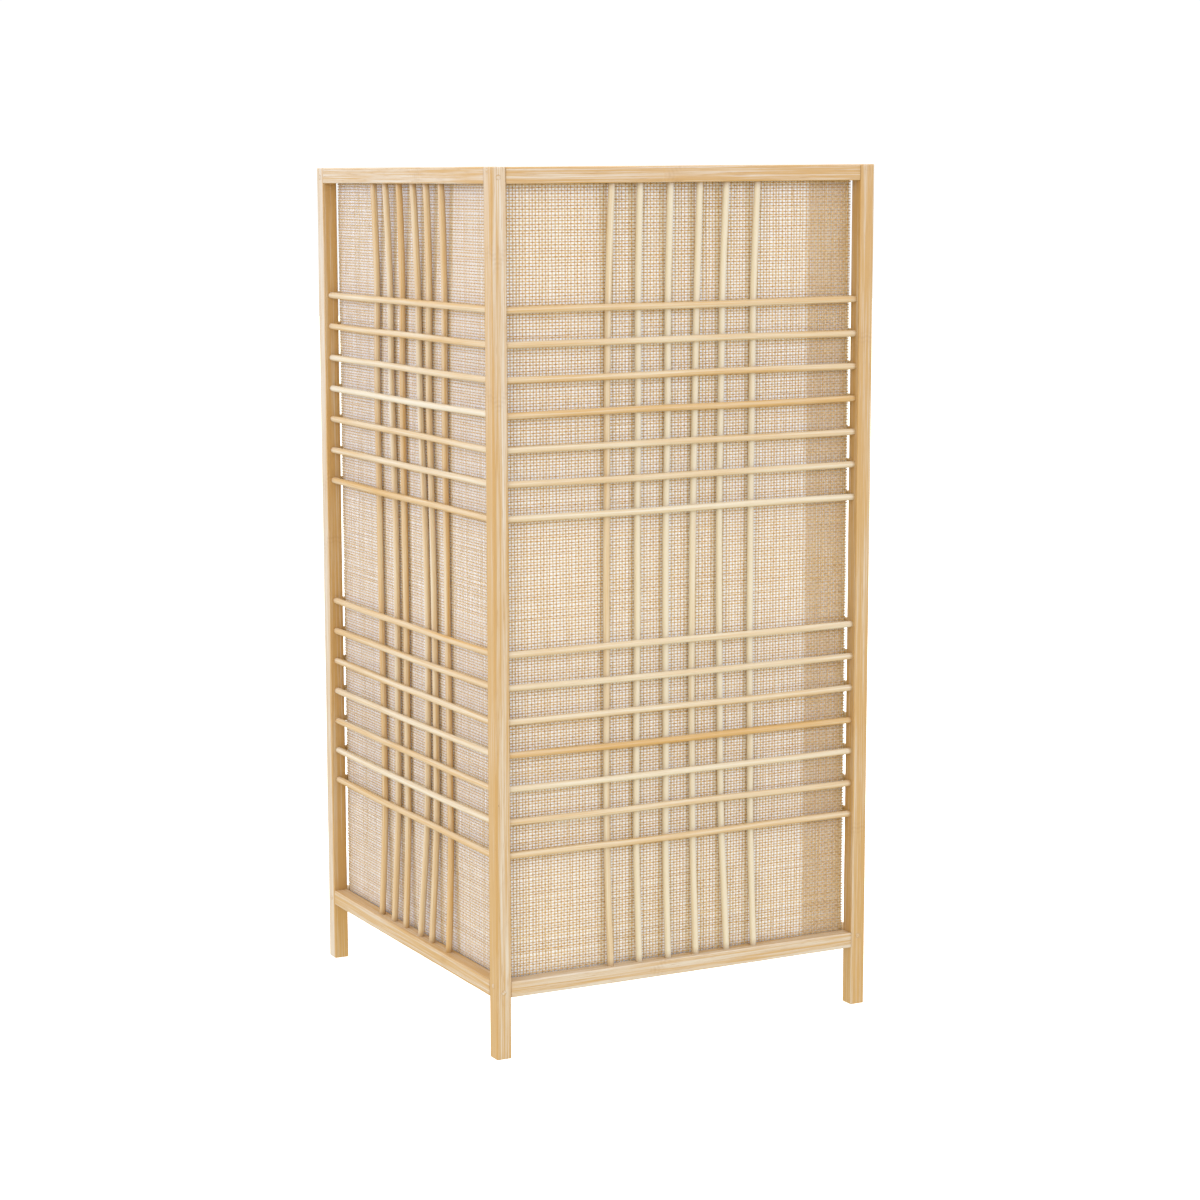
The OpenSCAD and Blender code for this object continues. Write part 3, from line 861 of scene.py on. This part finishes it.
def stage():
    """A pale floor that the camera sees, and that throws no light on the object."""
    n = Nodes("pale_floor")
    cloud = n.noise(local(n), (1.5, 1.5, 1.5), 2.0)
    color = n.mix(n.ramp(cloud, 0.3, 0.7), (0.93, 0.93, 0.93, 1), (0.96, 0.96, 0.96, 1))
    material = n.finish(color, 0.9, Emission_Color=(1, 1, 1, 1), Emission_Strength=0.7)
    size, steps = 9.0, 6
    grid = np.linspace(-size, size, steps)
    verts = [(x, y, 0.0) for y in grid for x in grid]
    corners = [i + j * steps for j in range(steps - 1) for i in range(steps - 1)]
    faces = [(c, c + 1, c + 1 + steps, c + steps) for c in corners]
    mesh = bpy.data.meshes.new("floor")
    mesh.from_pydata(verts, [], faces)
    mesh.materials.append(material)
    floor = bpy.data.objects.new("floor", mesh)
    bpy.context.scene.collection.objects.link(floor)
    floor.visible_diffuse = floor.visible_glossy = False


def soft_box(name, place, size, power, color):
    data = bpy.data.lights.new(name, "AREA")
    data.shape, data.size, data.energy, data.color = "SQUARE", size, power, color
    light = bpy.data.objects.new(name, data)
    bpy.context.scene.collection.objects.link(light)
    back = np.array(place, float) - np.array(LIT_POINT, float)
    back /= np.linalg.norm(back)
    right = np.cross((0, 0, 1), back)
    right /= np.linalg.norm(right)
    light.matrix_world = placed(right, np.cross(back, right), back, place)


def lights():
    """A warm surround, which the camera sees as white, and four soft boxes."""
    world = bpy.data.worlds.new("studio")
    bpy.context.scene.world = world
    world.use_nodes = True
    tree = world.node_tree
    back = tree.nodes["Background"]
    back.inputs[0].default_value = (1.0, 0.94, 0.71, 1)
    back.inputs[1].default_value = 1.04
    seen = tree.nodes.new("ShaderNodeBackground")
    seen.inputs[0].default_value = (1, 1, 1, 1)
    seen.inputs[1].default_value = 1.05
    path = tree.nodes.new("ShaderNodeLightPath")
    blend = tree.nodes.new("ShaderNodeMixShader")
    tree.links.new(path.outputs["Is Camera Ray"], blend.inputs[0])
    tree.links.new(back.outputs[0], blend.inputs[1])
    tree.links.new(seen.outputs[0], blend.inputs[2])
    tree.links.new(blend.outputs[0], tree.nodes["World Output"].inputs[0])
    cool, even = (0.34, 0.53, 1.1), (1.0, 0.98, 1.07)   # so that only the shade is warm
    soft_box("back_left_box", (-2.5, 1.1, 1.0), 1.2, 42, cool)
    soft_box("front_box", (1.25, -2.7, 1.25), 1.2, 31, cool)
    soft_box("fill_box", (-1.9, -1.9, 1.1), 1.6, 19, even)
    soft_box("top_box", (0.1, 0.2, 2.6), 1.6, 40, even)
    bpy.context.scene.view_settings.view_transform = "Standard"
    bpy.context.scene.view_settings.look = "None"


def main():
    camera()
    frame_wood = bamboo("bamboo_frame", (0.63, 0.55, 0.45, 1), (0.52, 0.315, 0.115, 1),
                        streak=0.40, dashes=0.75)
    rod_wood = bamboo("bamboo_rod", (0.68, 0.60, 0.46, 1), (0.56, 0.34, 0.12, 1),
                      streak=0.25, dashes=0.2)
    frame_bars(frame_wood)
    dowels(frame_wood)
    rods(rod_wood)
    woven_sheet(weave())
    liner_sheet(liner())
    lamp()
    stage()
    lights()


main()
